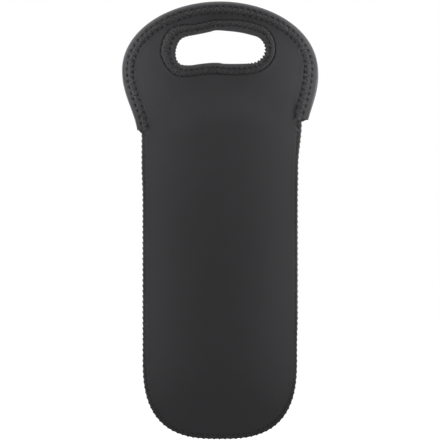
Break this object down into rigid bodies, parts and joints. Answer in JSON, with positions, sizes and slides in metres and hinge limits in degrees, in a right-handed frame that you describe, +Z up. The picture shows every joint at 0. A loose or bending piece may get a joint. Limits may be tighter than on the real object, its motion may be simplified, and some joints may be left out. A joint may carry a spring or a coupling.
{
  "type": "soft bottle carrier",
  "caption": "Soft foam-backed bottle carrier with a flat round-bottomed pouch, bound edges and twin arched handle flaps with hand holes.",
  "frame": {"origin": "the hang point: the middle of the hand hole's upper edge, on the carrier's middle plane", "axes": "+X to the right seen from the front, +Y from the front panel to the back panel, +Z up towards the top of the handle"},
  "size_m": [0.193, 0.026, 0.4319],
  "materials": {
    "jersey": "matte",
    "lining": "matte",
    "foam": "matte",
    "tape": "matte",
    "thread": "satin"
  },
  "bodies": {
    "pouch": {"front_pouch_face": "jersey", "front_pouch_foam": "foam", "front_pouch_lining": "lining", "back_pouch_face": "jersey", "back_pouch_foam": "foam", "back_pouch_lining": "lining", "seam_overedge": "thread", "left_bar_tack": "thread", "right_bar_tack": "thread"},
    "front_handle": {"front_handle_face": "jersey", "front_handle_foam": "foam", "front_handle_lining": "lining", "front_arch_binding": "tape", "front_grip_binding": "tape", "front_arch_stitching": "thread", "front_grip_stitching": "thread"},
    "back_handle": {"back_handle_face": "jersey", "back_handle_foam": "foam", "back_handle_lining": "lining", "back_arch_binding": "tape", "back_grip_binding": "tape", "back_arch_stitching": "thread", "back_grip_stitching": "thread"}
  },
  "joints": [
    {"name": "front_handle_fold", "type": "hinge", "parent": "pouch", "child": "front_handle", "pos_m": [0, -0.0095, -0.09614], "axis": [0.997, 0, 0.0775], "range_deg": [0, 60], "stiffness_Nm_per_rad": 0.03},
    {"name": "back_handle_fold", "type": "hinge", "parent": "pouch", "child": "back_handle", "pos_m": [0, 0.0095, -0.09614], "axis": [-0.997, 0, -0.0775], "range_deg": [0, 60], "stiffness_Nm_per_rad": 0.03}
  ]
}
